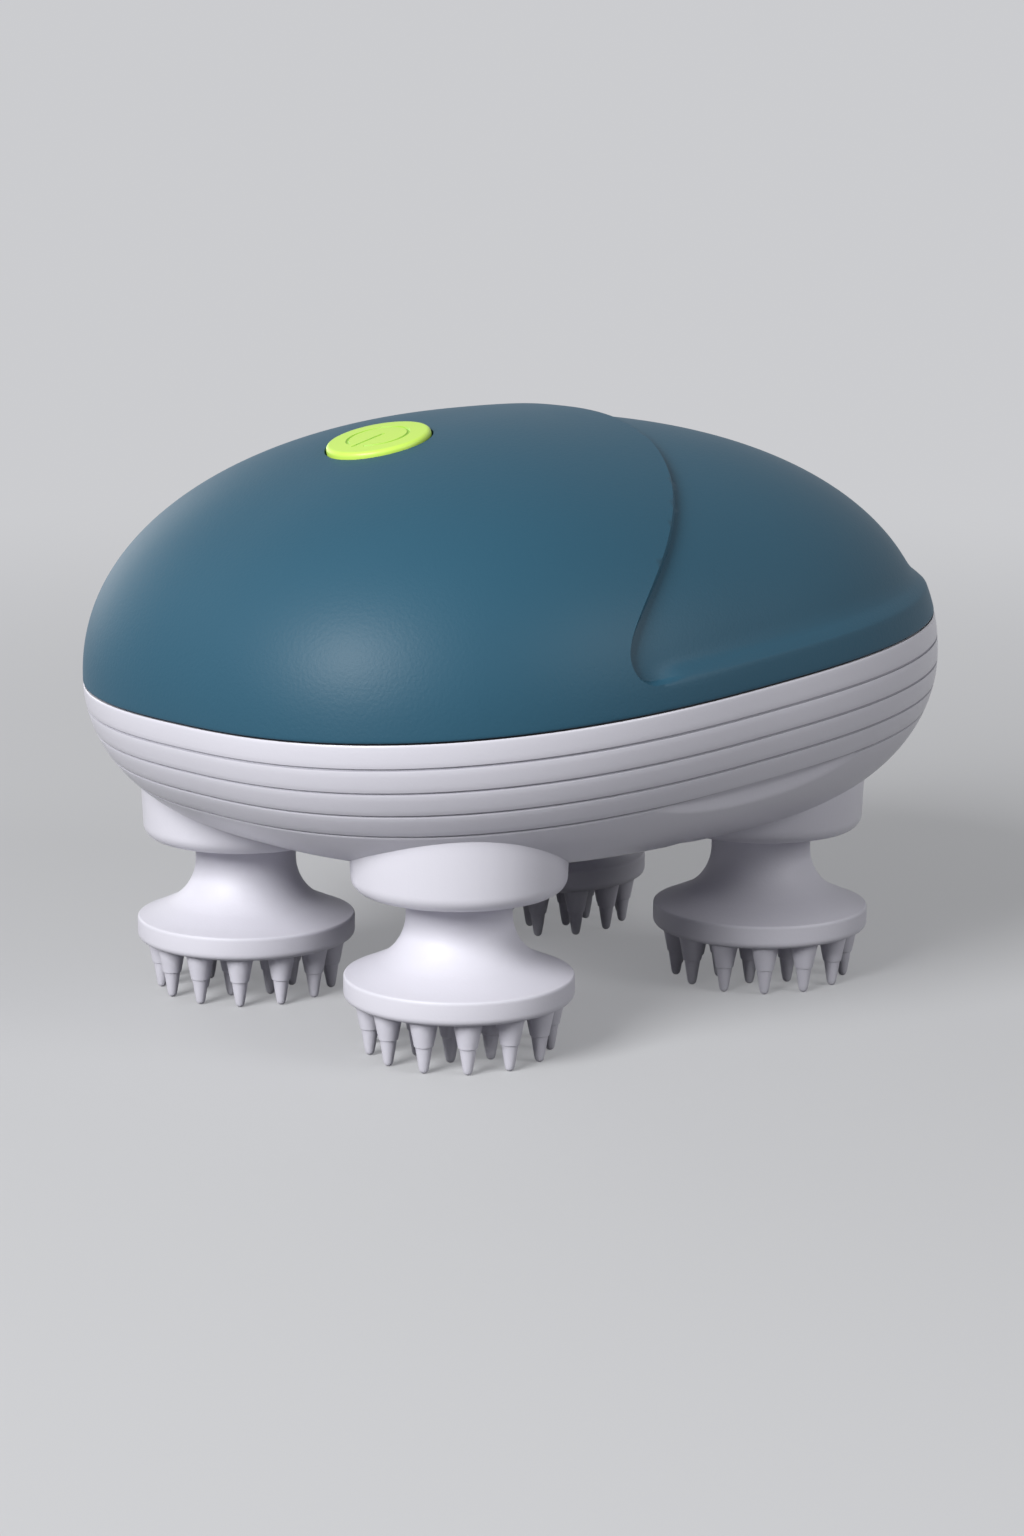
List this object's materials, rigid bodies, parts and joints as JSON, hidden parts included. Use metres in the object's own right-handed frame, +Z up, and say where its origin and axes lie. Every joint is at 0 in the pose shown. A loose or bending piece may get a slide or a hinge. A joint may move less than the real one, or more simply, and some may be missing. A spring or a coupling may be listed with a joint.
{
  "type": "head massager",
  "caption": "Palm-held egg-shaped scalp massager on turning claw heads, with a soft-touch cover, a grooved pale bowl, a power button and the geared drive inside.",
  "frame": {"origin": "on the surface the fingertips stand on, under the middle of the body's length and width", "axes": "+X along the body's length, from the button end (front) to the charging end (rear); +Z up from the fingertips; +Y across, away from the picture's near side, so the heads at -Y are named left"},
  "size_m": [0.1199, 0.096, 0.0798],
  "materials": {
    "soft_touch_cover": "soft-touch coat with a fine matte grain",
    "pale_bowl": "satin-gloss moulded plastic, pale lavender white",
    "pale_hub": "satin moulded plastic, pale lavender white",
    "claw_silicone": "soft satin silicone",
    "lime_button": "satin moulded plastic, lime green",
    "dark_seal": "matt black rubber",
    "screw_steel": "zinc-plated steel",
    "axle_steel": "ground steel",
    "gear_acetal": "moulded acetal",
    "deck_plastic": "moulded nylon",
    "cell_wrap": "aluminium pouch",
    "motor_steel": "nickel-plated steel can",
    "dark_plastic": "moulded black plastic",
    "board_green": "green solder mask on glass-fibre board",
    "sintered_bronze": "oil-soaked sintered bronze",
    "gilt_contact": "gold-plated brass"
  },
  "bodies": {
    "housing": {"upper_shell": "soft_touch_cover", "lower_shell": "pale_bowl", "shell_seal": "dark_seal", "shell_screws": "screw_steel", "gear_deck": "deck_plastic", "motor_plate": "axle_steel", "plate_screws": "screw_steel", "battery_cell": "cell_wrap", "motor_can": "motor_steel", "motor_end_cap": "dark_plastic", "sun_axle": "axle_steel", "second_gear_axle": "axle_steel", "first_gear_axle": "axle_steel", "tact_switch": "dark_plastic", "control_board": "board_green", "board_screws": "screw_steel", "charge_plate": "dark_plastic", "charge_contacts": "gilt_contact", "spindle_bush_front_left": "sintered_bronze", "spindle_seal_front_left": "dark_seal", "spindle_bush_front_right": "sintered_bronze", "spindle_seal_front_right": "dark_seal", "spindle_bush_rear_left": "sintered_bronze", "spindle_seal_rear_left": "dark_seal", "spindle_bush_rear_right": "sintered_bronze", "spindle_seal_rear_right": "dark_seal"},
    "button": {"power_button": "lime_button", "switch_plunger": "dark_plastic"},
    "sun": {"sun_gear": "gear_acetal"},
    "second_gear": {"second_reduction_gear": "gear_acetal"},
    "first_gear": {"first_reduction_gear": "gear_acetal"},
    "rotor": {"motor_shaft": "axle_steel", "motor_pinion": "gear_acetal"},
    "head_front_left": {"spindle_front_left": "axle_steel", "head_gear_front_left": "gear_acetal", "head_hub_front_left": "pale_hub", "claw_pad_front_left": "claw_silicone"},
    "head_front_right": {"spindle_front_right": "axle_steel", "head_gear_front_right": "gear_acetal", "head_hub_front_right": "pale_hub", "claw_pad_front_right": "claw_silicone"},
    "head_rear_left": {"spindle_rear_left": "axle_steel", "head_gear_rear_left": "gear_acetal", "head_hub_rear_left": "pale_hub", "claw_pad_rear_left": "claw_silicone"},
    "head_rear_right": {"spindle_rear_right": "axle_steel", "head_gear_rear_right": "gear_acetal", "head_hub_rear_right": "pale_hub", "claw_pad_rear_right": "claw_silicone"}
  },
  "joints": [
    {"name": "button_press", "type": "slide", "parent": "housing", "child": "button", "axis": [0.2314, 0, -0.9729], "range_m": [0, 0.0005], "stiffness_N_per_m": 3000},
    {"name": "sun_spin", "type": "hinge", "parent": "housing", "child": "sun", "pos_m": [-0.0025, 0, 0.0345], "axis": [0, 0, 1], "continuous": true},
    {"name": "second_gear_spin", "type": "hinge", "parent": "housing", "child": "second_gear", "pos_m": [0.0295, 0, 0.043], "axis": [0, 0, 1], "continuous": true},
    {"name": "first_gear_spin", "type": "hinge", "parent": "housing", "child": "first_gear", "pos_m": [0.01975, -0.0086, 0.0468], "axis": [0, 0, 1], "continuous": true},
    {"name": "rotor_spin", "type": "hinge", "parent": "housing", "child": "rotor", "pos_m": [0.01, 0, 0.0468], "axis": [0, 0, 1], "continuous": true},
    {"name": "head_spin_front_left", "type": "hinge", "parent": "housing", "child": "head_front_left", "pos_m": [-0.0311, -0.02186, 0.0345], "axis": [0, 0, 1], "continuous": true},
    {"name": "head_spin_front_right", "type": "hinge", "parent": "housing", "child": "head_front_right", "pos_m": [-0.0311, 0.02186, 0.0345], "axis": [0, 0, 1], "continuous": true},
    {"name": "head_spin_rear_left", "type": "hinge", "parent": "housing", "child": "head_rear_left", "pos_m": [0.0261, -0.02186, 0.0345], "axis": [0, 0, 1], "continuous": true},
    {"name": "head_spin_rear_right", "type": "hinge", "parent": "housing", "child": "head_rear_right", "pos_m": [0.0261, 0.02186, 0.0345], "axis": [0, 0, 1], "continuous": true}
  ],
  "couplings": [
    {"joint": "second_gear_spin", "follows": "sun_spin", "ratio": -4.3333},
    {"joint": "first_gear_spin", "follows": "sun_spin", "ratio": 14.444},
    {"joint": "rotor_spin", "follows": "sun_spin", "ratio": -48.148},
    {"joint": "head_spin_front_left", "follows": "sun_spin", "ratio": -2.6},
    {"joint": "head_spin_front_right", "follows": "sun_spin", "ratio": -2.6},
    {"joint": "head_spin_rear_left", "follows": "sun_spin", "ratio": -2.6},
    {"joint": "head_spin_rear_right", "follows": "sun_spin", "ratio": -2.6}
  ]
}
